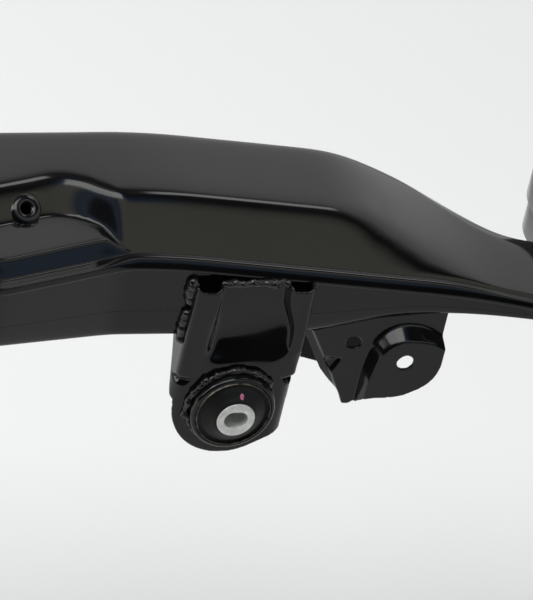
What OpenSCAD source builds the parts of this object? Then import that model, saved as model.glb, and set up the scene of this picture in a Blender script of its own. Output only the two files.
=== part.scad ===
// Rear suspension subframe of a road car, welded from pressed sheet.
// A humped cross beam runs between two rails that bolt up to the body through four rubber mounts.
// Two brackets with pressed-in bushes and two arm clevises hang below the beam.
// X runs along the beam, Y towards the rear, Z up; the floor under the bush brackets is Z = 0.

/* [Sheet metal] */
// Thickness of the pressed sheet
sheet_t = 2.6; // [2.2:0.1:3]
// Gap left between pieces that are welded together
weld_gap = 0.2; // [0.1:0.05:0.3]
// Gap between pieces that are pressed into each other
press_gap = 0.1; // [0.05:0.05:0.15]

/* [Cross beam] */
// Height of the upper shell's lower edge at the middle
lip_mid_z = 170; // [167:1:173]
// Fall of that edge along the arms, in mm for each mm
lip_slope = 0.126; // [0.118:0.002:0.132]
// Height of the rolled lip of the upper shell
lip_h = 10.5; // [9.5:0.5:11]
// Height of the lip on the bowed part
lip_bow_h = 6.5; // [6:0.5:7.5]
// Height of the lip at the ends of the arms
lip_arm_h = 7; // [6:0.5:7.5]
// Height of the beam's underside at the middle
under_mid_z = 103; // [100:1:106]
// Height of the beam's underside at the front edge of the arms
under_arm_z = 121; // [118:1:124]
// How far the underside rises towards the centre line
centre_rise = 14; // [8:1:16]
// Height of the crest above the lip edge at the middle
crest_mid_h = 47; // [42:1:54]
// Height of the crest above the lip edge at the arms
crest_arm_h = 10.5; // [10:0.5:14]
// Where the crest's rear edge lies at the middle
crest_rear_mid_y = 110; // [104:1:118]
// Where the crest's rear edge lies at the arms
crest_rear_arm_y = 55; // [50:1:62]
// Slope of the upper shell's front wall
wall_angle = 50; // [45:1:56]
// How far the rear wall runs out below the crest
rear_run = 26; // [18:1:32]
// How far the arms deepen below their front edge
arm_belly = 18; // [10:1:22]
// Share of the side wall that belongs to the lower shell
seam_share = 0.38; // [0.3:0.01:0.45]

/* [Centre shelf] */
// Half length of the part of the beam that bows forward
bow_half = 115; // [110:1:120]
// Forward slope of the bowed part
bow_slope = 0.28; // [0.22:0.01:0.32]
// Height of the shelf pressed into the bowed part
shelf_h = 15.5; // [13:0.5:18]
// Depth of the shelf
shelf_d = 38; // [32:1:42]
// Width of the ledge between the lip and the shelf
ledge_w = 9; // [8:0.5:10]
// Width of the ledge between the lip and the wall
ledge_arm_w = 3.5; // [3:0.25:4.5]
// Distance of each locating hole from the centre line
locator_x = 38; // [32:1:44]
// Diameter of the locating holes
locator_d = 9; // [7:0.5:11]

/* [Rails and body mounts] */
// Distance of each rail from the centre line
rail_x = 530; // [522:1:550]
// Width of a rail
rail_w = 92; // [88:1:100]
// Distance of the body mounts from the middle of a rail
mount_y = 125; // [118:1:135]
// Height of a rail's underside
rail_under_z = 98; // [94:1:101]
// Height of a rail's top
rail_top_z = 162; // [160:1:170]
// Outer diameter of a body mount's housing
mount_housing_d = 70; // [66:1:74]
// Diameter of the bolt hole in a body mount
mount_bolt_d = 17; // [15:0.5:18]

/* [Bush brackets] */
// Distance of each bush from the centre line
bush_x = 220; // [215:1:226]
// Height of the bush axis
bush_z = 45; // [45:1:52]
// Width of a bush bracket
bracket_w = 96; // [94:1:100]
// Height of the bracket's upper edge
bracket_top_z = 153.5; // [149:0.5:153.5]
// How far the bracket stands out from the beam
bracket_proud = 12; // [10:0.5:14]
// Depth of the bracket under the beam
bracket_depth = 18; // [14:1:22]
// Width of the bracket's sunk panel
panel_w = 52; // [46:1:56]
// Outer diameter of the bush
bush_d = 60; // [56:0.5:62]
// Wall of the housing tube around the bush
housing_wall = 3.5; // [3:0.25:4]
// Length of the housing tube
housing_len = 54; // [50:1:60]
// How far the housing tube stands out of the bracket
housing_proud = 10; // [7:0.5:13]
// Outer diameter of the inner sleeve
sleeve_d = 30; // [27:0.5:33]
// How far the inner sleeve stands out of the housing at each end
sleeve_proud = 8; // [5:0.5:10]
// Width of the slotted bolt hole in the inner sleeve
slot_w = 14.5; // [12.5:0.5:15]
// Length of the slotted bolt hole
slot_len = 18.5; // [17:0.5:20]

/* [Arm clevises] */
// Distance of each clevis hole from the centre line
clevis_x = 355; // [352:1:358]
// Height of the clevis hole
clevis_z = 81; // [80:1:85]
// Diameter of the clevis hole
clevis_d = 13; // [11:0.5:14.5]
// How far the pad round the hole is pressed out
pad_proud = 12; // [8:0.5:14]
// Radius of the pad round the hole
pad_r = 26; // [24:0.5:27]
// Free width between the two plates
clevis_gap = 40; // [36:1:44]
// Depth of the flange along the clevis's slanted edge
flange_d = 18; // [16:1:20]
// How far that flange leans outward
flange_flare = 5; // [3:0.5:6]

/* [Hidden] */
$fn = 64;
far = 400;
SIDES = ["left", "right"];
ENDS = ["front", "rear"];

beam_half = rail_x - rail_w / 2 - weld_gap;
kink_span = [78, 130];
bow_steps = 6;
kink_steps = 8;
arm_steps = 19;
corner_steps = 2;
least_reach = 0.25;
bow_blend = 10;
nose_blend = 12;
shelf_run = 6;
locator_up = 8;
locator_boss_d = 24;
locator_boss_h = 2;
lip_lap = 5;
lip_draft = 12;
lip_roll = 25;
lip_growth = [88, 122];
lip_lowering = [370, 440];
lip_fall_from = 148;
lip_fall_blend = 30;
under_lift = [252, 365];
crest_fall = [290, 422];
rear_narrowing = [362, 460];
rear_run_least = 0.3;
belly_growth = [395, 455];
belly_run = 26;
shelf_fall = [94, 118];
shelf_narrowing = [60, 112];
shelf_fullness = 1.5;
arm_sweep = 0.19;
arm_sweep_from = 410;
arm_sweep_blend = 40;

bush_front_y = -bracket_proud - housing_proud;
bush_mid_y = bush_front_y + housing_len / 2;
housing_d = bush_d + 2 * housing_wall;
apron_r = bush_z;
can_wall = 1.6;
can_proud = 0.6;
rail_seam_z = 128;
rail_lap = 14;
rail_mid_z = (rail_under_z + rail_top_z) / 2;
mount_housing_h = rail_top_z - rail_under_z + 8;
mount_housing_wall = 3;
mount_sleeve_d = 28;
mount_lip_h = 6;
bracket_round = 12;
bracket_toe = 24;
bracket_rim = 5;
rim_up = 3;
taper_drop = 6;
rubber_short = 1.2;
rubber_bulge = 1.5;
groove_d = 1.5;
groove_w = 2;
saddle_side = 12;
saddle_up = 8;
saddle_ear = 6;
pocket_front_low_z = [85, 83];
pocket_floor_low_z = [107, 121];
pocket_round = 10;
pocket_flare = 2;
bracket_low_top_z = under_z(bush_x) - weld_gap;
bracket_dart_z = 72;
dart_leg = 13;
dart_half = 9.5;
nut_d = 21;
nut_h = 11;
nut_bore_d = 10.4;
sleeve_len = housing_len + 2 * sleeve_proud;

clevis_front_y = 4;
clevis_rear_y = clevis_front_y + sheet_t + clevis_gap;
clevis_tip = [-38, -44];
clevis_heel_x = -76;
clevis_edge = 30.5;
clevis_toe_angle = 15;
clevis_wing = [-70, -34];
clevis_wing_x = -98;
outline_steps = 8;
access_hole = [-41, 11];
access_hole_d = 11;
pad_draft = 5;
pad_run = 5;
pad_shoulder = 9;

// Smooth curves that shape the beam along its length
function ease(t) = t <= 0 ? 0 : t >= 1 ? 1 : t * t * (3 - 2 * t);
function eased(x, span) = ease((along(x) - span[0]) / (span[1] - span[0]));
function ramp(u, k) = u <= -k ? 0 : u >= k ? u : (u + k) * (u + k) / (4 * k);
function soft_abs(x, k) = abs(x) >= k ? abs(x) : x * x / (2 * k) + k / 2;
function between(from, to, share) = from + (to - from) * share;

function along(x) = soft_abs(x, nose_blend);
function web_y(x) = -bow_slope * ramp(bow_half - along(x), bow_blend)
    - arm_sweep * ramp(along(x) - arm_sweep_from, arm_sweep_blend);
function lip_edge_z(x) = lip_mid_z - lip_slope * ramp(along(x) - lip_fall_from, lip_fall_blend);
function under_z(x) = between(under_mid_z, under_arm_z, eased(x, under_lift))
    + centre_rise * ramp(bow_half - along(x), bow_blend) / bow_half;
function crest_h(x) = between(crest_mid_h, crest_arm_h, eased(x, crest_fall));
function crest_z(x) = lip_edge_z(x) + crest_h(x);
function crest_rear_y(x) = between(crest_rear_mid_y, crest_rear_arm_y, eased(x, rear_narrowing));
function rear_y(x) = crest_rear_y(x) + rear_run * between(rear_run_least, 1, crest_h(x) / crest_mid_h);
function belly(x) = arm_belly * eased(x, belly_growth);
function seam_z(x) = between(under_z(x), lip_edge_z(x), seam_share);
function shelf_rise(x) = 1 - eased(x, shelf_fall);
function shelf_reach(x) = let(t = (along(x) - shelf_narrowing[0]) / (shelf_narrowing[1] - shelf_narrowing[0]))
    1 - pow(min(max(t, 0), 1), shelf_fullness);
function lip_top_h(x) = between(between(lip_bow_h, lip_h, eased(x, lip_growth)), lip_arm_h, eased(x, lip_lowering));
function lip_lean(x) = (lip_top_h(x) - lip_lap) * tan(between(lip_draft, lip_roll, eased(x, lip_growth)));
function ledge(x) = between(ledge_w, ledge_arm_w, eased(x, lip_growth));

// Lines of a pressed section: corners are rounded, then the sheet gets its thickness
function unit(v) = v / norm(v);
function corner(a, b, c, r) = let(
    p = unit(a - b),
    q = unit(c - b),
    room = 0.45 * min(norm(a - b), norm(c - b)),
    reach = min(max(r * norm(p + q) / norm(p - q), least_reach), room)
) r == 0 ? [b] : [for (i = [0 : corner_steps]) let(s = i / corner_steps)
    b + reach * (p * (1 - s) * (1 - s) + q * s * s)];
function rounded(line, radii) = concat(
    [line[0]],
    [for (i = [1 : len(line) - 2]) each corner(line[i - 1], line[i], line[i + 1], radii[i - 1])],
    [line[len(line) - 1]]
);
function heading(line, i) = unit(
    (i < len(line) - 1 ? unit(line[i + 1] - line[i]) : [0, 0])
    + (i > 0 ? unit(line[i] - line[i - 1]) : [0, 0]));
function inside(line, t) = [for (i = [0 : len(line) - 1]) let(
    h = heading(line, i),
    near = unit(i > 0 ? line[i] - line[i - 1] : line[1] - line[0])
) line[i] + t / max(h * near, 0.5) * [h[1], -h[0]]];
function sheet(line) = let(inner = inside(line, sheet_t))
    concat(line, [for (i = [len(inner) - 1 : -1 : 0]) inner[i]]);

// A solid through sections that all have the same number of points
module loft(xs, sections) {
    n = len(sections[0]);
    last = len(xs) - 1;
    points = [for (k = [0 : last]) for (p = sections[k]) [xs[k], p[0], p[1]]];
    start_cap = [for (i = [n - 1 : -1 : 0]) i];
    end_cap = [for (i = [0 : n - 1]) last * n + i];
    skin = [for (k = [0 : last - 1]) for (i = [0 : n - 1]) let(
        j = (i + 1) % n,
        a = k * n + i,
        b = k * n + j,
        c = (k + 1) * n + j,
        d = (k + 1) * n + i
    ) each [[a, b, c], [a, c, d]]];
    polyhedron(points, concat([start_cap, end_cap], skin), convexity = 10);
}

function stops(from, to, count) = [for (k = [1 : count]) between(from, to, k / count)];
beam_half_xs = concat(
    stops(0, kink_span[0], bow_steps),
    stops(kink_span[0], kink_span[1], kink_steps),
    stops(kink_span[1], beam_half, arm_steps)
);
beam_xs = concat([for (k = [len(beam_half_xs) - 1 : -1 : 0]) -beam_half_xs[k]], [0], beam_half_xs);

// Upper shell: lip, ledge, shelf, front wall, crest, rear wall and rear lip
function wall_dir() = [cos(wall_angle), sin(wall_angle)];
function lip_out() = weld_gap + sheet_t / cos(lip_roll);
function shelf_line(x) = let(
    lip = [web_y(x) - lip_out() + lip_lean(x), lip_edge_z(x) + lip_top_h(x)],
    ledge = lip + [ledge(x), 0.5],
    front = ledge + shelf_rise(x) * [shelf_run, shelf_h] + (1 - shelf_rise(x)) * wall_dir(),
    back = front + shelf_reach(x) * [shelf_d, 1] + (1 - shelf_reach(x)) * wall_dir()
) [lip, ledge, front, back];
function upper_line(x) = let(
    s = shelf_line(x),
    top = crest_z(x),
    front = web_y(x) - lip_out(),
    rear = rear_y(x) + lip_out(),
    low = lip_edge_z(x),
    flare = lip_lap * tan(lip_draft)
) [
    [front - flare, low], [front, low + lip_lap], s[0], s[1], s[2], s[3],
    s[3] + wall_dir() * (top - s[3][1]) / sin(wall_angle),
    [crest_rear_y(x), top],
    [rear - lip_lean(x), low + lip_top_h(x)],
    [rear, low + lip_lap], [rear + flare, low]
];
upper_radii = [0, 3, 2, 3, 6, 18, 14, 4, 0];

module locator_place(side) {
    base = shelf_line(locator_x)[3] + locator_up * wall_dir();
    translate([side * locator_x, base[0], base[1]]) rotate([90 - wall_angle, 0, 0]) children();
}

// resize without sizes changes nothing: it hands the pierced pressing over as one mesh
module upper_shell() color("#1b1c1e") resize([0, 0, 0]) difference() {
    union() {
        loft(beam_xs, [for (x = beam_xs) sheet(rounded(upper_line(x), upper_radii))]);
        for (side = [-1, 1]) locator_place(side) translate([0, 0, -sheet_t / 2])
            cylinder(d = locator_boss_d, h = sheet_t / 2 + locator_boss_h);
    }
    for (side = [-1, 1]) locator_place(side) translate([0, 0, -20]) cylinder(d = locator_d, h = 40);
}

// Side webs: plain strips between the upper shell's lips and the lower shell
function strip(y, low, high) = [[y, low], [y, high], [y + sheet_t, high], [y + sheet_t, low]];
module front_web() color("#1d1e20")
    loft(beam_xs, [for (x = beam_xs) strip(web_y(x), seam_z(x) + weld_gap, lip_edge_z(x) + lip_lap - weld_gap)]);
module rear_web() color("#1d1e20")
    loft(beam_xs, [for (x = beam_xs)
        strip(rear_y(x) - sheet_t, seam_z(x) + weld_gap, lip_edge_z(x) + lip_lap - weld_gap)]);

// Lower shell: a channel that closes the beam from below
function lower_line(x) = let(f = web_y(x), r = rear_y(x), u = under_z(x)) [
    [r, seam_z(x)],
    [r, u],
    [r - belly_run, u - belly(x)],
    [f + belly_run, u - belly(x)],
    [f, u],
    [f, seam_z(x)]
];
lower_radii = [5, 8, 8, 5];
module lower_shell() color("#1b1c1e")
    loft(beam_xs, [for (x = beam_xs) sheet(rounded(lower_line(x), lower_radii))]);

// A flat plate cut to an outline in X and Z, from one Y to another
module plate(from_y, to_y)
    translate([0, to_y, 0]) rotate([90, 0, 0]) linear_extrude(to_y - from_y) children();

// A round bar, tube or turned profile along Y
module along_y(from_y) translate([0, from_y, 0]) rotate([-90, 0, 0]) children();

// Rails: a pressed cap over a pressed pan, both pierced for the body mounts
module stadium(inset) {
    translate([-rail_w / 2 + inset, -mount_y]) square([rail_w - 2 * inset, 2 * mount_y]);
    for (end = [-1, 1]) translate([0, end * mount_y]) circle(d = rail_w - 2 * inset);
}
module rail_block(inset, low, high)
    translate([rail_x, 0, low]) linear_extrude(high - low) stadium(inset);
module mount_holes()
    for (end = [-1, 1]) translate([rail_x, end * mount_y, 0])
        cylinder(d = mount_housing_d + 2 * weld_gap, h = far);

module rail_upper() color("#1b1c1e") difference() {
    rail_block(0, rail_seam_z, rail_top_z);
    rail_block(sheet_t, rail_seam_z - 1, rail_top_z - sheet_t);
    mount_holes();
}
module rail_lower() color("#1b1c1e") difference() {
    rail_block(sheet_t + weld_gap, rail_under_z, rail_seam_z + rail_lap);
    rail_block(2 * sheet_t + weld_gap, rail_under_z + sheet_t, rail_seam_z + rail_lap + 1);
    mount_holes();
}

// Body mounts: a welded housing tube, a rubber ring with lips and a steel sleeve for the bolt
module at_mount(end) translate([rail_x, end == "front" ? -mount_y : mount_y, rail_mid_z]) children();
module mount_housing() color("#1b1c1e") difference() {
    cylinder(d = mount_housing_d, h = mount_housing_h, center = true);
    cylinder(d = mount_housing_d - 2 * mount_housing_wall, h = far, center = true);
}
module mount_rubber() color("#141414") {
    outer = mount_housing_d / 2 - mount_housing_wall - press_gap;
    inner = mount_sleeve_d / 2 + press_gap;
    half = mount_housing_h / 2;
    lip_r = mount_housing_d / 2 - 1;
    rotate_extrude() polygon([
        [inner, -half - mount_lip_h], [outer - 4, -half - mount_lip_h + 3], [outer, -half + 2],
        [outer, half + weld_gap], [lip_r, half + weld_gap], [lip_r, half + 3],
        [outer - 6, half + mount_lip_h - 1], [inner, half + mount_lip_h]
    ]);
}
module mount_sleeve() color("#8d9091") difference() {
    cylinder(d = mount_sleeve_d, h = mount_housing_h + 2 * mount_lip_h + 4, center = true);
    cylinder(d = mount_bolt_d, h = far, center = true);
}

// Bush brackets: a pressed front with two open ridges beside a sunk panel
module bracket_outline(inset, top) {
    r = apron_r - inset;
    edge = bracket_w / 2 - inset;
    toe = [edge, -bracket_toe + inset];
    touch = atan2(toe[1], toe[0]) - acos(r / norm(toe));
    translate([0, bush_z]) {
        circle(r = r);
        polygon([[0, bracket_toe], [edge, bracket_toe], toe, (r - 0.01) * [cos(touch), sin(touch)]]);
        translate([-edge, 0]) square([2 * edge, top - bush_z]);
    }
}
module bracket_plan(inset) {
    r = bracket_round - inset;
    w = bracket_w - 2 * inset;
    translate([-w / 2, -bracket_proud + inset]) {
        translate([r, 0]) square([w - 2 * r, far]);
        translate([0, r]) square([w, far]);
        for (x = [r, w - r]) translate([x, r]) circle(r = r);
    }
}
module bracket_form(inset, top, back) intersection() {
    union() {
        plate(-bracket_proud + inset, -weld_gap + back) bracket_outline(inset, top);
        plate(-bracket_proud + inset, bracket_depth + back) bracket_outline(inset, bracket_low_top_z);
    }
    linear_extrude(far) bracket_plan(inset);
}
// The side walls are deepest under the beam and run out into a narrow rim round the bush
module bracket_taper() rotate([90, 0, 90]) linear_extrude(far, center = true) polygon([
    [-far, -1], [-bracket_proud + bracket_rim, -1], [-bracket_proud + bracket_rim, bush_z + rim_up],
    [bracket_depth, bracket_low_top_z - taper_drop], [bracket_depth, far], [-far, far]
]);
module pocket_outline(half, low_z, grow)
    offset(r = pocket_round + grow, $fn = 32) offset(delta = -pocket_round) polygon([
        [-half, far], [-half, low_z[0]], [half, low_z[1]], [half, far]
    ]);
module bracket_pocket(grow) hull() {
    plate(-bracket_proud - 1, -bracket_proud)
        pocket_outline(panel_w / 2 + pocket_flare, pocket_front_low_z, grow);
    plate(-bracket_proud - 1, -weld_gap - sheet_t + grow)
        pocket_outline(panel_w / 2 - pocket_flare, pocket_floor_low_z, grow);
}
// A stiffening dart pressed into a bend that runs along Z, with the sheet towards -X and +Y
module dart(grow) {
    out = 0.5;
    leg = dart_leg + 2 * grow;
    half = dart_half + 1.5 * grow;
    polyhedron(
        [[out, -out, half], [out, -out, -half], [-leg, -out, 0], [out, leg, 0]],
        [[0, 2, 3], [1, 3, 2], [0, 1, 2], [0, 3, 1]]
    );
}
module bracket_darts(grow) for (side = [0, 1]) mirror([side, 0, 0])
    translate([bracket_w / 2, -bracket_proud, bracket_dart_z]) dart(grow);
module bracket_front() color("#1e1f21") difference() {
    intersection() {
        bracket_form(0, bracket_top_z, 0);
        bracket_taper();
    }
    bracket_pocket(0);
    difference() {
        bracket_form(sheet_t, bracket_top_z + 1, 1);
        bracket_pocket(sheet_t);
        bracket_darts(sheet_t);
    }
    bracket_darts(0);
    housing_hole();
}
// A saddle plate closes the bracket behind and sits on the housing tube
module bracket_rear() color("#1b1c1e") difference() {
    top = bracket_low_top_z;
    wide = bracket_w / 2 - sheet_t - weld_gap;
    narrow = housing_d / 2 + saddle_ear;
    plate(bracket_depth - sheet_t, bracket_depth) polygon([
        [-wide, top], [-wide, top - saddle_side], [-narrow, bush_z + saddle_up],
        [narrow, bush_z + saddle_up], [wide, top - saddle_side], [wide, top]
    ]);
    housing_hole();
}
module at_bush() translate([bush_x, 0, 0]) children();
module housing_hole() translate([0, 0, bush_z]) along_y(-far / 2) cylinder(d = housing_d + 2 * weld_gap, h = far);

// Bushes: housing tube, steel can, bonded rubber and an aluminium sleeve with a slotted hole
module on_bush_axis() translate([bush_x, bush_mid_y, bush_z]) rotate([-90, 0, 0]) children();
module bush_housing() color("#1b1c1e") difference() {
    cylinder(d = housing_d, h = housing_len, center = true);
    cylinder(d = bush_d, h = far, center = true);
}
module bush_can() color("#26282a") difference() {
    cylinder(d = bush_d - 2 * press_gap, h = housing_len + 2 * can_proud, center = true);
    cylinder(d = bush_d - 2 * press_gap - 2 * can_wall, h = far, center = true);
}
module bush_rubber() color("#131313") {
    outer = bush_d / 2 - can_wall - 2 * press_gap;
    inner = sleeve_d / 2 + press_gap;
    half = housing_len / 2;
    middle = (outer + inner) / 2;
    tip = half + sleeve_proud - rubber_short;
    rotate_extrude() polygon([
        [inner, -tip], [middle, -half - rubber_bulge], [outer - groove_w, -half + groove_d], [outer, -half + groove_d],
        [outer, half - groove_d], [outer - groove_w, half - groove_d], [middle, half + rubber_bulge], [inner, tip]
    ]);
}
module bush_sleeve() color("#b9bcba") difference() {
    cylinder(d = sleeve_d, h = sleeve_len, center = true);
    for (end = [-1, 1]) translate([end * (slot_len - slot_w) / 2, 0, 0])
        cylinder(d = slot_w, h = far, center = true);
    cube([slot_len - slot_w, slot_w, far], center = true);
}

// Arm clevises: a pressed front plate with a raised pad and a folded edge, and a plain rear plate
function clevis_top(x) = under_z(clevis_x + x) - 2 * weld_gap - clevis_z;
function clevis_top_line(from, to) = [for (i = [0 : outline_steps]) let(x = between(from, to, i / outline_steps))
    [x, clevis_top(x)]];
function clevis_heel() = [clevis_heel_x, clevis_top(clevis_heel_x)];
function clevis_outward() = unit([clevis_tip[1] - clevis_heel()[1], clevis_heel()[0] - clevis_tip[0]]);
module clevis_shape(heel_x, corners) {
    circle(r = clevis_edge);
    polygon(concat(
        [[clevis_edge, 0]],
        clevis_top_line(clevis_edge, heel_x),
        corners,
        [-clevis_edge * [sin(clevis_toe_angle), cos(clevis_toe_angle)]]
    ));
}
module clevis_outline() clevis_shape(clevis_heel_x, [clevis_tip]);
module clevis_rear_outline() clevis_shape(clevis_wing_x, [clevis_wing, clevis_tip]);
module at_clevis() translate([clevis_x, 0, clevis_z]) children();
module pad_outline(grow) {
    circle(r = pad_r + grow, $fn = 32);
    translate([-pad_r - grow, -far / 4]) square([pad_r + grow, far / 4]);
    polygon([
        [0, -far / 4], [clevis_edge + pad_run, -far / 4], [clevis_edge + pad_run, pad_shoulder + grow],
        [0, pad_r + grow]
    ]);
}
module clevis_pad(shrink, lift) hull() {
    plate(clevis_front_y + sheet_t - 0.1, clevis_front_y + sheet_t) pad_outline(pad_draft - shrink);
    plate(clevis_front_y - pad_proud + lift, clevis_front_y) pad_outline(-shrink);
}
module clevis_dart(grow) {
    heel = clevis_heel();
    middle = (heel + clevis_tip) / 2;
    lean = atan2(heel[0] - clevis_tip[0], heel[1] - clevis_tip[1]);
    translate([middle[0], clevis_front_y, middle[1]]) rotate([0, lean, 0]) mirror([1, 0, 0]) dart(grow);
}
// The folded edge leans outward as it runs back
module clevis_flange() {
    inward = -sheet_t * clevis_outward();
    out = flange_flare * clevis_outward();
    hull() for (back = [0, 1]) translate([back * out[0], 0, back * out[1]])
        plate(clevis_front_y + back * (flange_d - 0.1), clevis_front_y + back * (flange_d - 0.1) + 0.1) intersection() {
            clevis_outline();
            polygon([clevis_heel(), clevis_tip, clevis_tip + inward, clevis_heel() + inward]);
        }
}
module clevis_hole() along_y(-far / 2) cylinder(d = clevis_d, h = far);
module clevis_front() color("#1e1f21") difference() {
    union() {
        plate(clevis_front_y, clevis_front_y + sheet_t) clevis_outline();
        intersection() {
            plate(-far / 2, clevis_front_y + sheet_t) clevis_outline();
            clevis_pad(0, 0);
        }
        clevis_flange();
        intersection() {
            plate(clevis_front_y, clevis_front_y + flange_d) clevis_outline();
            clevis_dart(sheet_t);
        }
    }
    clevis_dart(0);
    translate([0, 0.01, 0]) clevis_pad(sheet_t, sheet_t);
    clevis_hole();
    translate([access_hole[0], 0, access_hole[1]]) along_y(-far / 2) cylinder(d = access_hole_d, h = far);
}
module clevis_rear() color("#1b1c1e") difference() {
    plate(clevis_rear_y, clevis_rear_y + sheet_t) clevis_rear_outline();
    clevis_hole();
}
module clevis_nut() color("#55585a") along_y(clevis_rear_y + sheet_t + weld_gap) difference() {
    cylinder(d = nut_d, h = nut_h, $fn = 6);
    cylinder(d = nut_bore_d, h = far, center = true);
}

// Everything at the left is the mirror image of the right
module at_side(side) mirror([side == "left" ? 1 : 0, 0, 0]) children();

upper_shell();
front_web();
rear_web();
lower_shell();
for (side = SIDES) at_side(side) {
    rail_upper();
    rail_lower();
    for (end = ENDS) at_mount(end) {
        mount_housing();
        mount_rubber();
        mount_sleeve();
    }
    at_bush() bracket_front();
    at_bush() bracket_rear();
    on_bush_axis() bush_housing();
    on_bush_axis() bush_can();
    on_bush_axis() bush_rubber();
    on_bush_axis() bush_sleeve();
    at_clevis() clevis_front();
    at_clevis() clevis_rear();
    at_clevis() clevis_nut();
}
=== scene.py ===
import math

import bmesh
import bpy
from mathutils import Matrix, Vector, geometry, noise


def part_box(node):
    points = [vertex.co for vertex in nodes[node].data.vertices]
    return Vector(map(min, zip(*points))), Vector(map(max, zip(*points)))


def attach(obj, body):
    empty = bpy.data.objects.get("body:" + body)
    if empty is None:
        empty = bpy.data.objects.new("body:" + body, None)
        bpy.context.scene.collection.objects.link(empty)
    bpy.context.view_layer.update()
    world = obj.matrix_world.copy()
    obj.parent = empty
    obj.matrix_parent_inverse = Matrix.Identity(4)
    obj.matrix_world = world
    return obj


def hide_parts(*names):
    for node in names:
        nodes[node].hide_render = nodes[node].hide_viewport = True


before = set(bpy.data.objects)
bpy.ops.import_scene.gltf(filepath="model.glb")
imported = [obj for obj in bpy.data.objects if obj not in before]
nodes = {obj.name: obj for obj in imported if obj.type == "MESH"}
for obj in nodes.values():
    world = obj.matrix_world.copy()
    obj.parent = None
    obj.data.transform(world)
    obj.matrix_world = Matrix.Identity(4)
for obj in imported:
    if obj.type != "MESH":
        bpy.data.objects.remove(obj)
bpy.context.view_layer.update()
mm = 0.001


# Gloss black paint: baked dip paint over the welded steel.
# It is nearly black and shiny, with a faint orange peel, uneven gloss and a few specks of dust.
# The peel is drawn a little coarser than the real one, so that it shows.
def linear(hex_colour):
    channels = [int(hex_colour[i:i + 2], 16) / 255 for i in (1, 3, 5)]
    return [c / 12.92 if c <= 0.04045 else ((c + 0.055) / 1.055) ** 2.4 for c in channels] + [1.0]


def add_node(tree, kind, settings=None, stops=None, **inputs):
    """Adds a node with its settings and colour stops, and sets or links its inputs by name, or by _number."""
    node = tree.nodes.new(kind)
    for name, value in (settings or {}).items():
        setattr(node, name, value)
    for i, (position, colour) in enumerate(stops or []):
        elements = node.color_ramp.elements
        element = elements[i] if i < len(elements) else elements.new(position)
        element.position = position
        element.color = colour
    for name, value in inputs.items():
        socket = node.inputs[int(name[1:])] if name[0] == "_" else node.inputs[name.replace("_", " ")]
        if isinstance(value, bpy.types.NodeSocket):
            tree.links.new(value, socket)
        else:
            socket.default_value = value
    return node


def new_material(name):
    material = bpy.data.materials.new(name)
    material.use_nodes = True
    tree = material.node_tree
    place = add_node(tree, "ShaderNodeTexCoord").outputs["Object"]
    return material, tree, tree.nodes["Principled BSDF"], place


paint_peel = 2.5 * mm
paint_patch = 70 * mm
dust_spacing = 30 * mm
dust_size = 0.3 * mm
black_paint, tree, surface, place = new_material("gloss_black_dip_paint")
patches = add_node(tree, "ShaderNodeTexNoise", Vector=place, Scale=1 / paint_patch, Detail=3.0)
peel = add_node(tree, "ShaderNodeTexNoise", Vector=place, Scale=1 / paint_peel, Detail=1.0)
dust = add_node(tree, "ShaderNodeTexVoronoi", Vector=place, Scale=1 / dust_spacing)
speck = add_node(tree, "ShaderNodeMath", {"operation": "LESS_THAN"}, _0=dust.outputs["Distance"],
                 _1=dust_size / dust_spacing)
pigment = add_node(tree, "ShaderNodeValToRGB", stops=[(0.35, linear("#0a0a0b")), (0.7, linear("#0f0f10"))],
                   Fac=patches.outputs["Fac"])
dusty = add_node(tree, "ShaderNodeMix", {"data_type": "RGBA"}, _0=speck.outputs[0],
                 _6=pigment.outputs["Color"], _7=linear("#8a8a86"))
gloss = add_node(tree, "ShaderNodeMapRange", Value=patches.outputs["Fac"], To_Min=0.07, To_Max=0.16)
skin = add_node(tree, "ShaderNodeBump", Strength=0.04, Distance=0.2 * mm, Height=peel.outputs["Fac"])
tree.links.new(dusty.outputs[2], surface.inputs["Base Color"])
tree.links.new(gloss.outputs["Result"], surface.inputs["Roughness"])
tree.links.new(skin.outputs["Normal"], surface.inputs["Normal"])
surface.inputs["IOR"].default_value = 1.42


# Cross beam: an upper and a lower shell of pressed sheet with a web strip on each side, welded into a box.
# The shells follow the frame's pressings, with every bend drawn round and the cut edges left crisp.
# The crest is relaxed far more towards the ends, where it fades into the flat arms.
def sheet_copy(node, name):
    """A merged copy of a frame node, selected and active, without the frame's own shading."""
    piece = bpy.data.objects.new(name, nodes[node].data.copy())
    bpy.context.collection.objects.link(piece)
    bpy.ops.object.select_all(action="DESELECT")
    bpy.context.view_layer.objects.active = piece
    piece.select_set(True)
    bpy.ops.object.mode_set(mode="EDIT")
    bpy.ops.mesh.select_all(action="SELECT")
    bpy.ops.mesh.remove_doubles(threshold=0.02 * mm)
    bpy.ops.mesh.customdata_custom_splitnormals_clear()
    bpy.ops.object.mode_set(mode="OBJECT")
    return piece


def finish_piece(piece, material, slot, *replaced):
    piece.data.materials.clear()
    piece.data.materials.append(material)
    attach(piece, "root")
    if replaced:
        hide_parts(*replaced)


def relax(piece, passes, group=""):
    relaxed = piece.modifiers.new("relaxed", "SMOOTH")
    relaxed.factor = 0.5
    relaxed.iterations = passes
    relaxed.vertex_group = group
    bpy.ops.object.modifier_apply(modifier="relaxed")


def relax_where(piece, passes, weight_at):
    """Relaxes a piece where weight_at, given a vertex's place, is above 0."""
    group = piece.vertex_groups.new(name="soft")
    for v in piece.data.vertices:
        weight = weight_at(v.co)
        if weight > 0:
            group.add([v.index], min(weight, 1.0), "REPLACE")
    relax(piece, passes, "soft")
    piece.vertex_groups.clear()


def fade(value, start, stop):
    """0 at start and before, 1 at stop and beyond, smooth between."""
    t = min(max((value - start) / (stop - start), 0.0), 1.0)
    return t * t * (3 - 2 * t)


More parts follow.
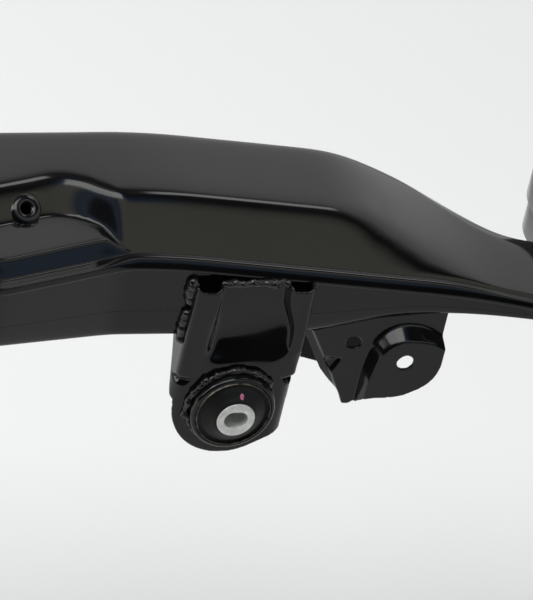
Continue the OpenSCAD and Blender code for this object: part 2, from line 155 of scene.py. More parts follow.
crest_along = (280 * mm, 370 * mm)
crest_front = (2 * mm, 12 * mm)
crest_rear = (75 * mm, 55 * mm)
crest_passes = 150
shell_passes = 9
cut_angle = math.radians(60)
quad_skew = math.radians(120)


def crest_softness(co):
    return fade(abs(co.x), *crest_along) * fade(co.y, *crest_front) * fade(co.y, *crest_rear)


beam_nodes = ("upper_shell", "front_web", "rear_web", "lower_shell")
for node in beam_nodes:
    shell = sheet_copy(node, "pressed_" + node)
    bpy.ops.object.mode_set(mode="EDIT")
    bpy.ops.mesh.tris_convert_to_quads(face_threshold=cut_angle, shape_threshold=quad_skew)
    bpy.ops.object.mode_set(mode="OBJECT")
    cut_edges = bmesh.new()
    cut_edges.from_mesh(shell.data)
    crease = cut_edges.edges.layers.float.new("crease_edge")
    for edge in cut_edges.edges:
        if edge.calc_face_angle(0) > cut_angle:
            edge[crease] = 1.0
    cut_edges.to_mesh(shell.data)
    cut_edges.free()
    drawn = shell.modifiers.new("drawn", "SUBSURF")
    drawn.levels = drawn.render_levels = 2
    bpy.ops.object.modifier_apply(modifier="drawn")
    if node == "upper_shell":
        relax_where(shell, crest_passes, crest_softness)
        relax(shell, shell_passes)
    bpy.ops.object.shade_smooth_by_angle(angle=math.radians(50))
    finish_piece(shell, black_paint, "black_paint", node)


# Bush brackets: deep-drawn steel with two open ridges, a sunk panel and a dart in each flank, welded on.
# They are rebuilt in a fine even mesh and relaxed, as thick paint rounds every edge of a pressing.
# The sunk panel's foot is relaxed much more, into one soft hollow.
def relaxed_copy(node, name, grain, passes):
    piece = sheet_copy(node, name)
    even = piece.modifiers.new("even", "REMESH")
    even.mode = "VOXEL"
    even.voxel_size = grain
    bpy.ops.object.modifier_apply(modifier="even")
    relax(piece, passes)
    bpy.ops.object.shade_smooth()
    return piece


def squared_bend(piece, bend, low, high, floor_z):
    """Draws the round front corners of a bracket out to a tighter bend, from floor_z upwards."""
    for v in piece.data.vertices:
        for corner, side in ((low.x + bend, -1), (high.x - bend, 1)):
            across = (v.co.x - corner) * side / bend
            ahead = (low.y + bend - v.co.y) / bend
            if across > 0 and ahead > 0:
                reach = math.hypot(across, ahead) / (across ** 5 + ahead ** 5) ** 0.2
                pull = (reach - 1) * fade(v.co.z, floor_z - 15 * mm, floor_z)
                v.co.x += across * pull * side * bend
                v.co.y -= ahead * pull * bend


SIDES = {"left": -1, "right": 1}
plate_grain = 0.9 * mm
bend_radius = 12 * mm
bend_floor_z = 75 * mm
hollow_z = 104 * mm
hollow_reach = 30 * mm
hollow_passes = 500
slope_foot = (80 * mm, 100 * mm)
slope_head = (150 * mm, 112 * mm)
pocket_widening = 12 * mm
pocket_inner, pocket_outer = 4 * mm, 47 * mm
inner_ramp, outer_ramp = 18 * mm, 25 * mm
crease_drop = 4 * mm
crease_inboard = (10 * mm, -18 * mm)
crease_flank = (38 * mm, 30 * mm)
top_rise = 4 * mm
top_zone = 16 * mm
corner_zone = (40 * mm, 47 * mm)
panel_zone = (32 * mm, 28 * mm)
dart_z = 72 * mm
dart_drop = 3.6 * mm
dart_stretch = 0.3
dart_height = (26 * mm, 10 * mm)
dart_flank = (34 * mm, 40 * mm)
bracket_low, bracket_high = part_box("right_bracket_front")
bracket_x = (bracket_low.x + bracket_high.x) / 2


def hollow_softness(co):
    off_hollow = math.hypot(abs(co.x) - bracket_x, (co.z - hollow_z) * 0.9)
    return 1.3 - off_hollow / hollow_reach


for side, sign in SIDES.items():
    low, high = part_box(f"{side}_bracket_front")
    bracket = relaxed_copy(f"{side}_bracket_front", f"{side}_pressed_bracket_front", plate_grain, 4)
    for v in bracket.data.vertices:
        out = abs(v.co.x) - bracket_x
        slope_part = fade(v.co.z, *slope_foot) * fade(v.co.z, *slope_head)
        spread = max(min((out - pocket_inner) / inner_ramp, (pocket_outer - out) / outer_ramp), 0)
        v.co.x += sign * pocket_widening * min(spread, 1) * slope_part
        v.co.z -= crease_drop * fade(out, *crease_inboard) * fade(abs(out), *crease_flank) * slope_part
        raised = fade(abs(out), *corner_zone) + fade(abs(out), *panel_zone)
        v.co.z += top_rise * raised * fade(v.co.z, high.z - top_zone, high.z)
        off_middle = abs(abs(v.co.x) - bracket_x)
        by_dart = fade(abs(v.co.z - dart_z), *dart_height) * fade(off_middle, *dart_flank)
        v.co.z += by_dart * (dart_stretch * (v.co.z - dart_z) - dart_drop)
    relax_where(bracket, hollow_passes, hollow_softness)
    squared_bend(bracket, bend_radius, low, high, bend_floor_z)
    finish_piece(bracket, black_paint, "black_paint", f"{side}_bracket_front")



# Arm clevises: a pressed steel plate welded under each arm, with a pad raised round its bore.
# One edge is rolled back, with a dart in the roll, and the lower edge is trimmed in one sweep.
# The wall of the pad is laid back a little along its upper arc, where the light catches it.
clevis_grain = 0.8 * mm
plate_y = 4 * mm
sheet = 3 * mm
pad_height = 12 * mm
pad_wall_r = 28 * mm
pad_facet = math.tau / 32
pad_wall_zone = (17 * mm, 5 * mm)
pad_laid_back = 2 * mm
pad_laid_back_top = 3.5 * mm
upper_arc_height = (-26 * mm, 10 * mm)
upper_arc_end = (24 * mm, 4 * mm)
edge_point = Vector((305.9 * mm, 56.9 * mm))
edge_out = Vector((-0.873, -0.488))
edge_dart = Vector((298 * mm, 71 * mm))
edge_lean = 0.12
edge_squeeze = 0.8
edge_zone = (-9 * mm, -3 * mm)
edge_soft_zone = (-9 * mm, -2 * mm)
dart_kept = (9 * mm, 18 * mm)
tip_fade = (66 * mm, 40 * mm)
lower_edge = (-19 * mm, -31 * mm)
trim = ((-60, -2.2), (-42, -2.4), (-33, -7.5), (-29, -4.9), (-26, 2.8), (-18, 0.0), (-9, -4.4), (-1, -3.0),
        (12, 0.0), (60, 0.0))
nut_low, nut_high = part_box("right_clevis_nut")
bore_x, bore_z = (nut_low.x + nut_high.x) / 2, (nut_low.z + nut_high.z) / 2


def edge_distance(co):
    return (Vector((abs(co.x), co.z)) - edge_point).dot(edge_out)


def edge_softness(co):
    off_dart = (Vector((abs(co.x), co.z)) - edge_dart).length
    return fade(edge_distance(co), *edge_soft_zone) * fade(off_dart, *dart_kept)


def pad_softness(co):
    off_bore = math.hypot(abs(co.x) - bore_x, co.z - bore_z)
    return fade(abs(off_bore - 26 * mm), 8 * mm, 4 * mm) * fade(co.z - bore_z, -18 * mm, -6 * mm)


def trim_shift(x):
    """How far the lower edge is moved up at x millimetres outboard of the bore."""
    for (x0, shift0), (x1, shift1) in zip(trim, trim[1:]):
        if x0 <= x < x1:
            return (shift0 + (shift1 - shift0) * (x - x0) / (x1 - x0)) * mm
    return 0.0


for side, sign in SIDES.items():
    clevis = relaxed_copy(f"{side}_clevis_front", f"{side}_pressed_clevis_front", clevis_grain, 3)
    for v in clevis.data.vertices:
        depth = v.co.y - plate_y
        lean = edge_lean * max(depth, 0) * fade(edge_distance(v.co), *edge_zone)
        lean -= max(edge_distance(v.co) + lean, 0) * fade(v.co.z, *tip_fade)
        v.co.x += sign * lean * edge_out.x
        v.co.z += lean * edge_out.y
        v.co.y -= edge_squeeze * max(depth - sheet, 0)
        arm = Vector((abs(v.co.x) - bore_x, v.co.z - bore_z))
        low_part = fade(arm.y, *lower_edge)
        upper_arc = fade(arm.y, *upper_arc_height) * fade(arm.x, *upper_arc_end)
        near_wall = fade(abs(arm.length - pad_wall_r), *pad_wall_zone)
        height = min(max(-depth / pad_height, 0), 1)
        if arm.x < 0 < arm.y:
            off_facet = math.atan2(arm.y, arm.x) % pad_facet - pad_facet / 2
            arm *= 1 + (math.cos(off_facet) / math.cos(pad_facet / 2) - 1) * near_wall
        arm -= arm.normalized() * (pad_laid_back + pad_laid_back_top * height) * upper_arc * near_wall
        v.co.x = sign * (bore_x + arm.x)
        v.co.z = bore_z + arm.y + low_part * trim_shift(arm.x / mm)
    relax_where(clevis, 15, edge_softness)
    relax_where(clevis, 20, pad_softness)
    relax(clevis, 2)
    finish_piece(clevis, black_paint, "black_paint", f"{side}_clevis_front")

# Rear plates: a steel saddle behind each bracket and a plain plate behind each clevis, cut and welded.
# They are nearly as black but dull, with hardly any shine: a slightly darker, duller paint that is painted
# shade, for the shadow they lie in behind the front plates.
tone_patch = 30 * mm
shaded_dull_paint, tree, surface, place = new_material("dull_black_paint_painted_shade")
drift = add_node(tree, "ShaderNodeTexNoise", Vector=place, Scale=1 / tone_patch, Detail=3.0)
# The darker tone is painted shade for the shadow behind the front plates; its patches differ at random.
painted_shade_tone = add_node(tree, "ShaderNodeValToRGB", stops=[(0.35, linear("#070707")), (0.7, linear("#0b0b0b"))],
                Fac=drift.outputs["Fac"])
dull = add_node(tree, "ShaderNodeMapRange", Value=drift.outputs["Fac"], To_Min=0.45, To_Max=0.6)
tree.links.new(painted_shade_tone.outputs["Color"], surface.inputs["Base Color"])
tree.links.new(dull.outputs["Result"], surface.inputs["Roughness"])
surface.inputs["Specular IOR Level"].default_value = 0.2
for side in SIDES:
    for node in ("bracket_rear", "clevis_rear"):
        plate = relaxed_copy(f"{side}_{node}", f"{side}_pressed_{node}", plate_grain, 5)
        finish_piece(plate, shaded_dull_paint, "black_paint", f"{side}_{node}")


# Rails, weld nuts and mount tubes: pressed rail halves, hexagon nuts and cut steel tubes, all dip-painted.
# Each keeps its form and gets the small rounded edge that folding, forging or cutting leaves.
def eased_copy(node, name, edge_radius):
    piece = sheet_copy(node, name)
    bpy.ops.object.mode_set(mode="EDIT")
    bpy.ops.mesh.select_all(action="SELECT")
    bpy.ops.mesh.dissolve_limited(angle_limit=math.radians(1))
    bpy.ops.object.mode_set(mode="OBJECT")
    eased = piece.modifiers.new("eased", "BEVEL")
    eased.width = edge_radius
    eased.segments = 3
    eased.limit_method = "ANGLE"
    eased.angle_limit = math.radians(35)
    eased.use_clamp_overlap = True
    bpy.ops.object.modifier_apply(modifier="eased")
    bpy.ops.object.shade_smooth_by_angle(angle=math.radians(30))
    return piece


for side in SIDES:
    for node, edge_radius in (("rail_upper", 2.2 * mm), ("rail_lower", 1.2 * mm), ("clevis_nut", 0.6 * mm)):
        piece = eased_copy(f"{side}_{node}", f"{side}_eased_{node}", edge_radius)
        finish_piece(piece, black_paint, "black_paint", f"{side}_{node}")
    for end in ("front", "rear"):
        tube = eased_copy(f"{side}_{end}_mount_housing", f"{side}_{end}_eased_mount_housing", 0.8 * mm)
        finish_piece(tube, black_paint, "black_paint", f"{side}_{end}_mount_housing")


# Rubber: moulded natural rubber, bonded in the bushes and body mounts.
# Dull black with a soft sheen and a fine moulded grain, drawn coarser than the real one so that it shows.
rubber_grain = 0.9 * mm
rubber_bloom = 25 * mm
rubber, tree, surface, place = new_material("moulded_black_rubber")
grain = add_node(tree, "ShaderNodeTexNoise", Vector=place, Scale=1 / rubber_grain, Detail=2.0)
bloom = add_node(tree, "ShaderNodeTexNoise", Vector=place, Scale=1 / rubber_bloom, Detail=3.0)
tone = add_node(tree, "ShaderNodeValToRGB", stops=[(0.3, linear("#0a0a0a")), (0.75, linear("#101010"))],
                Fac=bloom.outputs["Fac"])
sheen = add_node(tree, "ShaderNodeMapRange", Value=bloom.outputs["Fac"], To_Min=0.42, To_Max=0.55)
pebble = add_node(tree, "ShaderNodeBump", Strength=0.12, Distance=0.15 * mm, Height=grain.outputs["Fac"])
tree.links.new(tone.outputs["Color"], surface.inputs["Base Color"])
tree.links.new(sheen.outputs["Result"], surface.inputs["Roughness"])
tree.links.new(pebble.outputs["Normal"], surface.inputs["Normal"])
surface.inputs["IOR"].default_value = 1.3
for side in SIDES:
    for end in ("front", "rear"):
        ring = eased_copy(f"{side}_{end}_mount_rubber", f"{side}_{end}_eased_mount_rubber", 1.5 * mm)
        finish_piece(ring, rubber, "rubber", f"{side}_{end}_mount_rubber")


# Bush rubber: a ring moulded between can and sleeve, with a groove at the can and a cone up to the sleeve.
# Its profile, set by the bush's sleeve and can, is spun round the bush axis.
def spun_ring(name, profile, placement):
    """Spins a closed profile of (radius, distance along Y) round Y and puts it in place."""
    bpy.ops.object.select_all(action="DESELECT")
    mesh = bpy.data.meshes.new(name)
    corners = [(r, y, 0) for r, y in profile]
    mesh.from_pydata(corners, [(i, (i + 1) % len(corners)) for i in range(len(corners))], [])
    piece = bpy.data.objects.new(name, mesh)
    bpy.context.collection.objects.link(piece)
    bpy.context.view_layer.objects.active = piece
    piece.select_set(True)
    bpy.ops.object.mode_set(mode="EDIT")
    bpy.ops.mesh.select_all(action="SELECT")
    bpy.ops.mesh.spin(steps=96, angle=math.tau, center=(0, 0, 0), axis=(0, 1, 0))
    bpy.ops.mesh.select_all(action="SELECT")
    bpy.ops.mesh.remove_doubles(threshold=0.02 * mm)
    bpy.ops.mesh.normals_make_consistent(inside=False)
    bpy.ops.object.mode_set(mode="OBJECT")
    piece.data.transform(placement)
    bpy.ops.object.shade_smooth_by_angle(angle=math.radians(40))
    return piece


rubber_inner = 15.1 * mm
can_setback = 6.8 * mm
for side in SIDES:
    low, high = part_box(f"{side}_bush_rubber")
    centre = (low + high) / 2
    outer = (high.x - low.x) / 2
    half = (high.y - low.y) / 2
    can_half = half - can_setback
    cone = [(rubber_inner, -half), (16.2 * mm, -half + 0.3 * mm), (17.5 * mm, -half + 1.5 * mm),
            (19.5 * mm, -half + 3.2 * mm), (22 * mm, -half + 4.6 * mm), (24.5 * mm, -half + 6.0 * mm),
            (26 * mm, -can_half + 0.6 * mm), (26.9 * mm, -can_half + 1.1 * mm), (outer, -can_half + 1.0 * mm)]
    profile = cone + [(r, -y) for r, y in reversed(cone)]
    ring = spun_ring(f"{side}_moulded_bush_rubber", profile, Matrix.Translation(centre))
    finish_piece(ring, rubber, "rubber", f"{side}_bush_rubber")

# Locating bosses: a ring of the beam's own steel, pressed up round each locating hole in its front wall.
# Thick paint rounds its lip, so the profile is drawn soft and spun on the wall's slope.
boss_tilt = math.radians(-50.3)
boss = [(4.6 * mm, 2.5 * mm), (4.6 * mm, -1.2 * mm), (5.2 * mm, -1.9 * mm), (7.0 * mm, -2.3 * mm),
        (9.5 * mm, -1.9 * mm), (11.5 * mm, -0.8 * mm), (12.7 * mm, 0.8 * mm), (12.9 * mm, 2.5 * mm)]
boss_x, boss_y, boss_z = 38 * mm, 33.0 * mm, 201.4 * mm
for side, sign in SIDES.items():
    stance = Matrix.Translation((sign * boss_x, boss_y, boss_z)) @ Matrix.Rotation(boss_tilt, 4, "X")
    ring = spun_ring(f"{side}_locating_boss", boss, stance)
    finish_piece(ring, black_paint, "black_paint")


# Bush housing: a short length of steel tube, welded through the bracket before painting.
# Its ends are rounded off under the thick paint, so its profile is spun with a wide outer round.
def bore_radius(node, centre):
    return min(math.hypot(v.co.x - centre.x, v.co.z - centre.z) for v in nodes[node].data.vertices)


lead = 3.2 * mm
for side in SIDES:
    low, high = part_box(f"{side}_bush_housing")
    centre = (low + high) / 2
    outer = (high.x - low.x) / 2
    half = (high.y - low.y) / 2
    inner = bore_radius(f"{side}_bush_housing", centre)
    round_off = [(outer - (outer - inner - 1.0 * mm) * (1 - math.sin(a)), -half + lead * (1 - math.cos(a)))
                 for a in (math.radians(15 * i) for i in range(7))]
    end = [(inner, -half + 0.4 * mm), (inner + 0.4 * mm, -half)] + round_off
    profile = end + [(r, -y) for r, y in reversed(end)]
    tube = spun_ring(f"{side}_rounded_bush_housing", profile, Matrix.Translation(centre))
    finish_piece(tube, black_paint, "black_paint", f"{side}_bush_housing")

# Bush can: a thin steel tube round the rubber, pressed into the housing.
# Its bare rim is rubbed bright by pressing in, a thin brownish metal line round the bush.
rub_patch = 4 * mm
can_steel, tree, surface, place = new_material("rubbed_can_steel")
rub = add_node(tree, "ShaderNodeTexNoise", Vector=place, Scale=1 / rub_patch, Detail=3.0)
worn = add_node(tree, "ShaderNodeValToRGB", stops=[(0.35, linear("#35332e")), (0.7, linear("#6f6b60"))],
                Fac=rub.outputs["Fac"])
tree.links.new(worn.outputs["Color"], surface.inputs["Base Color"])
surface.inputs["Metallic"].default_value = 0.9
surface.inputs["Roughness"].default_value = 0.35
for side in SIDES:
    low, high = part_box(f"{side}_bush_can")
    centre = (low + high) / 2
    outer = (high.x - low.x) / 2
    half = (high.y - low.y) / 2
    inner = bore_radius(f"{side}_bush_can", centre)
    crown = inner + (outer - inner) * 0.45
    end = [(inner, -half + 1.0 * mm), (crown - 0.35 * mm, -half + 0.1 * mm), (crown, -half),
           (crown + 0.35 * mm, -half + 0.1 * mm), (outer, -half + 1.0 * mm)]
    profile = end + [(r, -y) for r, y in reversed(end)]
    can = spun_ring(f"{side}_crowned_bush_can", profile, Matrix.Translation(centre))
    finish_piece(can, can_steel, "black_paint", f"{side}_bush_can")

# Bush sleeve: turned aluminium with a faced end and a slotted bolt hole.
# Concentric tool marks, drawn coarser than the real ones, break up the light on its pale face.
tool_mark = 0.9 * mm
smear_patch = 6 * mm
aluminium, tree, surface, place = new_material("turned_aluminium")
low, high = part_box("right_bush_sleeve")
axis_x, axis_z = (low.x + high.x) / 2, (low.z + high.z) / 2
mirrored = add_node(tree, "ShaderNodeVectorMath", {"operation": "ABSOLUTE"}, _0=place)
centred = add_node(tree, "ShaderNodeVectorMath", {"operation": "SUBTRACT"}, _0=mirrored.outputs[0],
                   _1=(axis_x, 0, axis_z))
marks = add_node(tree, "ShaderNodeTexWave", {"wave_type": "RINGS", "rings_direction": "Y"},
                 Vector=centred.outputs[0], Scale=0.31 / tool_mark, Distortion=0.4, Detail=2.0)
smear = add_node(tree, "ShaderNodeTexNoise", Vector=place, Scale=1 / smear_patch, Detail=4.0)
alloy = add_node(tree, "ShaderNodeValToRGB", stops=[(0.3, linear("#c6c7c3")), (0.7, linear("#e6e6e2"))],
                 Fac=smear.outputs["Fac"])
turned = add_node(tree, "ShaderNodeBump", Strength=0.25, Distance=0.05 * mm, Height=marks.outputs["Fac"])
tree.links.new(alloy.outputs["Color"], surface.inputs["Base Color"])
tree.links.new(turned.outputs["Normal"], surface.inputs["Normal"])
surface.inputs["Metallic"].default_value = 0.8
surface.inputs["Roughness"].default_value = 0.5
for side in SIDES:
    sleeve = eased_copy(f"{side}_bush_sleeve", f"{side}_turned_bush_sleeve", 0.7 * mm)
    finish_piece(sleeve, aluminium, "aluminium", f"{side}_bush_sleeve")

# Body mount sleeves: steel tube, cut to length, zinc-plated and bonded in the mount's rubber.
# The plating gives a cool grey shine in small flecks.
zinc_fleck = 3 * mm
zinc, tree, surface, place = new_material("zinc_plated_steel")
spangle = add_node(tree, "ShaderNodeTexVoronoi", Vector=place, Scale=1 / zinc_fleck)
plated = add_node(tree, "ShaderNodeValToRGB", stops=[(0.0, linear("#8f9192")), (1.0, linear("#b4b6b6"))],
                  Fac=spangle.outputs["Color"])
tree.links.new(plated.outputs["Color"], surface.inputs["Base Color"])
surface.inputs["Metallic"].default_value = 0.95
surface.inputs["Roughness"].default_value = 0.34
for side in SIDES:
    for end in ("front", "rear"):
        sleeve = eased_copy(f"{side}_{end}_mount_sleeve", f"{side}_{end}_cut_mount_sleeve", 0.8 * mm)
        finish_piece(sleeve, zinc, "plated_steel", f"{side}_{end}_mount_sleeve")


# Weld seams: arc-weld beads of overlapping puddles under the same black paint, rough with spatter; the
# grey-brown mottling in their colour is painted highlight, for the glints on the lumps.
# Each is built from squashed drops along its line, fused and relaxed into one lumpy bead.
spatter_and_glint_size = 1.6 * mm
weld_paint, tree, surface, place = new_material("weld_bead_with_painted_glints")
spatter_and_glints = add_node(tree, "ShaderNodeTexNoise", Vector=place, Scale=1 / spatter_and_glint_size, Detail=3.0)
# Grey-brown patches in the bead's colour: painted highlight, glints on the lumpy bead under the black paint. The
# same noise gives the real spatter bump.
painted_glint_mottle = add_node(tree, "ShaderNodeValToRGB", stops=[(0.45, linear("#0a0a0b")), (0.75, linear("#2a2926"))],
                Fac=spatter_and_glints.outputs["Fac"])
crust = add_node(tree, "ShaderNodeBump", Strength=0.6, Distance=0.5 * mm, Height=spatter_and_glints.outputs["Fac"])
tree.links.new(painted_glint_mottle.outputs["Color"], surface.inputs["Base Color"])
tree.links.new(crust.outputs["Normal"], surface.inputs["Normal"])
surface.inputs["Roughness"].default_value = 0.2
surface.inputs["IOR"].default_value = 1.5
# A fixed seed lays the same beads in every run.
bead_seed = 7
noise.seed_set(bead_seed)


def weld(name, path, width, closed=False, grain=0.6 * mm):
    """Lays a bead of the given width along a path of points, and round to its start if closed."""
    spacing = width * 0.3
    stretches = list(zip(path, path[1:] + path[:1])) if closed else list(zip(path, path[1:]))
    puddles = bmesh.new()
    carry = 0.0
    for start, stop in stretches:
        length = (stop - start).length
        run = (stop - start) / length
        while carry < length:
            spot = start + run * carry
            swell = 1 + 0.3 * noise.noise(spot / (8 * mm)) + 0.4 * noise.noise(spot / (3.1 * mm))
            wander = noise.noise_vector(spot / (3.7 * mm)) * width * 0.2
            size = width / 2 * min(max(swell, 0.6), 1.3)
            stance = Matrix.Translation(spot + wander) @ run.to_track_quat("Z", "Y").to_matrix().to_4x4()
            squash = Matrix.Diagonal((size, size, size * 0.85, 1))
            bmesh.ops.create_icosphere(puddles, subdivisions=2, radius=1.0, matrix=stance @ squash)
            carry += spacing * (1 + 0.8 * noise.noise(spot / (4.3 * mm)))
        carry -= length
    mesh = bpy.data.meshes.new(name)
    puddles.to_mesh(mesh)
    puddles.free()
    bead = bpy.data.objects.new(name, mesh)
    bpy.context.collection.objects.link(bead)
    bpy.ops.object.select_all(action="DESELECT")
    bpy.context.view_layer.objects.active = bead
    bead.select_set(True)
    fused = bead.modifiers.new("fused", "REMESH")
    fused.mode = "VOXEL"
    fused.voxel_size = grain
    bpy.ops.object.modifier_apply(modifier="fused")
    relax(bead, 2)
    bpy.ops.object.shade_smooth()
    finish_piece(bead, weld_paint, "black_paint")


def ring_points(centre, radius, axis, count=48):
    turn = Matrix.Rotation(math.tau / count, 3, axis)
    arm = Vector((radius, 0, 0))
    points = []
    for _ in range(count):
        points.append(centre + arm)
        arm = turn @ arm
    return points


flank_beads = (("upper", 158 * mm, 137 * mm, 9.5 * mm), ("lower", 128 * mm, 103 * mm, 8.5 * mm))
flank_gap = 0.5 * mm
outboard_foot_z = 112 * mm
panel_y, panel_rise = -5.5 * mm, 4.5 * mm
seam_tacks = (("inner", 121 * mm, 133.6 * mm), ("middle", 148 * mm, 130.4 * mm),
              ("outer", 153 * mm, 130.2 * mm))
tack_run = Vector((4 * mm, 0, -0.2 * mm))
seal_width, mount_width, end_width = 3.2 * mm, 4.5 * mm, 5 * mm
coarse = 0.8 * mm
beam_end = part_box("lower_shell")[1].x
for side, sign in SIDES.items():
    low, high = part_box(f"{side}_bracket_front")
    inboard, outboard = (low.x, high.x) if sign > 0 else (high.x, low.x)
    middle = (inboard + outboard) / 2
    bead_x = inboard - sign * flank_gap
    for level, top, bottom, width in flank_beads:
        path = [Vector((bead_x, -1 * mm, top)), Vector((bead_x, -1 * mm, bottom))]
        weld(f"{side}_bracket_{level}_inboard_weld", path, width)
    bead_x = outboard + sign * flank_gap
    path = [Vector((bead_x, -2.0 * mm, high.z)), Vector((bead_x, -1.0 * mm, outboard_foot_z))]
    weld(f"{side}_bracket_outboard_weld", path, 4.5 * mm)
    path = [Vector((middle - sign * 26 * mm, panel_y, high.z + panel_rise)),
            Vector((middle + sign * 25 * mm, panel_y, high.z + panel_rise))]
    weld(f"{side}_panel_weld", path, 7.5 * mm)
    for tack, x, z in seam_tacks:
        start = Vector((sign * x, 0.2 * mm, z))
        stop = start + Vector((sign * tack_run.x, 0, tack_run.z))
        weld(f"{side}_seam_{tack}_tack", [start, stop], 1.5 * mm)
    tube_low, tube_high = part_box(f"{side}_bush_housing")
    axis = (tube_low + tube_high) / 2
    tube_radius = (tube_high.x - tube_low.x) / 2
    front_face = Vector((axis.x, low.y - 0.3 * mm, axis.z))
    ring = ring_points(front_face, tube_radius + 0.6 * mm, "Y")
    weld(f"{side}_housing_seal_weld", ring, seal_width, closed=True)
    ring = ring_points(front_face - Vector((0, 1.5 * mm, 0)), tube_radius + 1.8 * mm, "Y", count=72)
    arc = sorted((p for p in ring if (p.z - axis.z) * 0.92 - (p.x - axis.x) * sign * 0.39 > 5 * mm),
                 key=lambda p: math.atan2((p.x - axis.x) * sign + (p.z - axis.z) * 0.4, p.z - axis.z))
    weld(f"{side}_housing_weld", arc, 6 * mm)
    rail_levels = (("top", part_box(f"{side}_rail_upper")[1].z), ("bottom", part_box(f"{side}_rail_lower")[0].z))
    for end in ("front", "rear"):
        tube_low, tube_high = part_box(f"{side}_{end}_mount_housing")
        centre = (tube_low + tube_high) / 2
        radius = (tube_high.x - tube_low.x) / 2
        for level, height in rail_levels:
            ring = ring_points(Vector((centre.x, centre.y, height)), radius, "Z")
            weld(f"{side}_{end}_mount_{level}_weld", ring, mount_width, closed=True, grain=coarse)
    end_points = sorted({(round(v.co.y, 5), round(v.co.z, 5)) for node in beam_nodes
                         for v in nodes[node].data.vertices if abs(v.co.x - sign * beam_end) < 0.1 * mm})
    outline = [end_points[i] for i in geometry.convex_hull_2d([Vector(p) for p in end_points])]
    path = [Vector((sign * (beam_end + 0.5 * mm), y, z)) for y, z in outline]
    weld(f"{side}_beam_end_weld", path, end_width, closed=True, grain=coarse)

# Paint dot: a dab of pink marking paint on the bush rubber, put on by hand when the bush was pressed in.
# It is a flattened drop, matt and a little uneven in colour, that lies on the rubber's cone.
dab_patch = 1.5 * mm
dot_radius = 2.0 * mm
cone_slope = math.radians(-28)
pink, tree, surface, place = new_material("pink_marking_paint")
dab = add_node(tree, "ShaderNodeTexNoise", Vector=place, Scale=1 / dab_patch, Detail=2.0)
dabbed = add_node(tree, "ShaderNodeValToRGB", stops=[(0.3, linear("#a24a70")), (0.7, linear("#c97a9b"))],
                  Fac=dab.outputs["Fac"])
tree.links.new(dabbed.outputs["Color"], surface.inputs["Base Color"])
surface.inputs["Roughness"].default_value = 0.5
low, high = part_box("right_bush_rubber")
bpy.ops.object.select_all(action="DESELECT")
bpy.ops.mesh.primitive_uv_sphere_add(segments=20, ring_count=10, radius=dot_radius)
dot = bpy.context.object
dot.name = "bush_paint_dot"
dot.data.transform(Matrix.Diagonal((0.85, 0.35, 1.5, 1.0)))
dot.data.transform(Matrix.Rotation(cone_slope, 4, "X"))
spot = Vector(((low.x + high.x) / 2 + 2.0 * mm, low.y + 3.0 * mm, (low.z + high.z) / 2 + 19.0 * mm))
dot.data.transform(Matrix.Translation(spot))
bpy.ops.object.shade_smooth()
finish_piece(dot, pink, "rubber")

# Studio floor: a pale matt sheet well below the part, painted greyer in front, where only the paint mirrors it:
# painted shade for the dimmer light that falls on the floor's front.
# It ends some way in front, so that the paint also mirrors the dark beyond it.
bpy.ops.object.select_all(action="DESELECT")
bpy.ops.mesh.primitive_plane_add(size=1)
floor = bpy.context.object
floor.name = "studio_floor"
floor.data.transform(Matrix.Diagonal((16, 11, 1, 1)))
floor.data.transform(Matrix.Translation((0, 3.4, -0.4)))
pale, tree, surface, place = new_material("matt_pale_floor_painted_shade")
parts = add_node(tree, "ShaderNodeSeparateXYZ", Vector=place)
far_part = add_node(tree, "ShaderNodeMapRange", Value=parts.outputs["Y"], From_Min=-0.5, From_Max=0.1)
# Greyer towards the front: painted shade, for the light that falls off on the front of the floor.
painted_shade_floor_tone = add_node(tree, "ShaderNodeMix", {"data_type": "RGBA"}, _0=far_part.outputs["Result"],
                 _6=linear("#c8c8c8"), _7=linear("#e7e7e7"))
tree.links.new(painted_shade_floor_tone.outputs[2], surface.inputs["Base Color"])
surface.inputs["Roughness"].default_value = 0.9
surface.inputs["Specular IOR Level"].default_value = 0.1
floor.data.materials.append(pale)

# Light: a pale back wall, a dark ceiling, a warm panel high in front and a cool strip low in front.
# The cool strip starts lower towards the right, and a second one lies over the panel at the left only.
# A large soft box at the left lights the part, and two overhead panels put the small highlights on its edges.
world = bpy.data.worlds.new("studio")
bpy.context.scene.world = world
world.use_nodes = True
tree = world.node_tree
direction = add_node(tree, "ShaderNodeTexCoord").outputs["Generated"]
parts = add_node(tree, "ShaderNodeSeparateXYZ", Vector=direction)
height = add_node(tree, "ShaderNodeMapRange", Value=parts.outputs["Z"], From_Min=-1.0, From_Max=1.0)
lean = add_node(tree, "ShaderNodeMath", {"operation": "MULTIPLY_ADD"}, _0=parts.outputs["X"], _1=0.6, _2=-0.2)
leaning = add_node(tree, "ShaderNodeMath", {"operation": "ADD"}, _0=parts.outputs["Z"], _1=lean.outputs[0])
front_height = add_node(tree, "ShaderNodeMapRange", Value=leaning.outputs[0], From_Min=-1.0, From_Max=1.0)
panel_stops = [(0.0, linear("#040404")), (0.565, linear("#060606")), (0.60, linear("#93aed0")),
               (0.69, linear("#8496b4")), (0.76, linear("#fffdea")), (0.87, linear("#f6f4e4"))]
front_left = add_node(tree, "ShaderNodeValToRGB", Fac=front_height.outputs["Result"], stops=panel_stops + [
    (0.905, linear("#5f83b5")), (0.935, linear("#43618c")), (0.955, linear("#303030")),
    (1.0, linear("#303030"))])
front_right = add_node(tree, "ShaderNodeValToRGB", Fac=front_height.outputs["Result"], stops=panel_stops + [
    (0.93, linear("#303030")), (1.0, linear("#303030"))])
rightward = add_node(tree, "ShaderNodeMapRange", Value=parts.outputs["X"], From_Min=0.36, From_Max=0.46)
front = add_node(tree, "ShaderNodeMix", {"data_type": "RGBA"}, _0=rightward.outputs["Result"],
                 _6=front_left.outputs["Color"], _7=front_right.outputs["Color"])
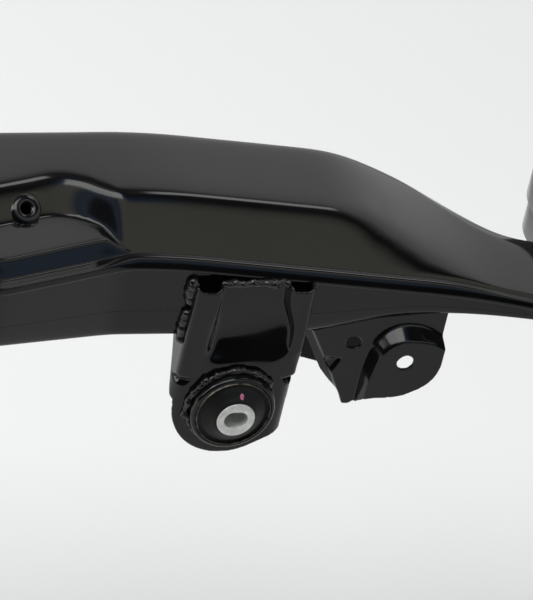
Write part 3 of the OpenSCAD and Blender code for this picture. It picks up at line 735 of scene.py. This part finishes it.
rear = add_node(tree, "ShaderNodeValToRGB", Fac=height.outputs["Result"], stops=[
    (0.0, linear("#e0e0e0")), (0.5, linear("#f4f4f4")), (0.86, linear("#ffffff")), (0.93, linear("#585858")),
    (1.0, linear("#505050"))])
facing = add_node(tree, "ShaderNodeMapRange", Value=parts.outputs["Y"], From_Min=-0.25, From_Max=0.25)
sky = add_node(tree, "ShaderNodeMix", {"data_type": "RGBA"}, _0=facing.outputs["Result"],
               _6=front.outputs[2], _7=rear.outputs["Color"])
tree.links.new(sky.outputs[2], tree.nodes["Background"].inputs["Color"])
tree.nodes["Background"].inputs["Strength"].default_value = 1.0
for name, spot, target, size_x, size_y, energy in (
        ("left_soft_box", (-5.0, 0.8, 3.2), Vector((0.35, 0.2, 0.0)), 5.0, 4.0, 300),
        ("overhead_left_panel", (-1.24, -0.83, 2.6), Vector((-1.24, -0.83, 0.0)), 3.3, 1.1, 42),
        ("overhead_right_strip", (1.9, 0.45, 3.2), Vector((1.9, 0.45, 0.0)), 1.0, 0.9, 11)):
    lamp = bpy.data.lights.new(name, "AREA")
    lamp.shape = "RECTANGLE"
    lamp.size = size_x
    lamp.size_y = size_y
    lamp.energy = energy
    holder = bpy.data.objects.new(name, lamp)
    bpy.context.collection.objects.link(holder)
    holder.location = spot
    holder.rotation_euler = (target - holder.location).to_track_quat("-Z", "Y").to_euler()

# Camera at the photo's viewing angle, far off with a long lens.
# One point of the part and its pixel in the photo, with the scale, set the frame.
image_w, image_h = 533, 600
px_per_mm = 1.3245
anchor = Vector((0.220, 0.0, 0.155))
anchor_px = (254, 282)
right = Vector((0.944, -0.265, 0.196)).normalized()
up = Vector((-0.329, -0.739, 0.588)).cross(right).normalized()
back = right.cross(up)
distance = 12.0
aim = (anchor + right * (image_w / 2 - anchor_px[0]) / px_per_mm * mm
       - up * (image_h / 2 - anchor_px[1]) / px_per_mm * mm)
lens = bpy.data.cameras.new("photo_camera")
lens.sensor_fit = "VERTICAL"
lens.sensor_height = 24
lens.lens = lens.sensor_height * distance / (image_h / px_per_mm * mm)
lens.clip_end = 100
camera = bpy.data.objects.new("photo_camera", lens)
bpy.context.collection.objects.link(camera)
turn = Matrix((right, up, back)).transposed().to_4x4()
camera.matrix_world = Matrix.Translation(aim + back * distance) @ turn
bpy.context.scene.camera = camera
bpy.context.scene.view_settings.view_transform = "Standard"
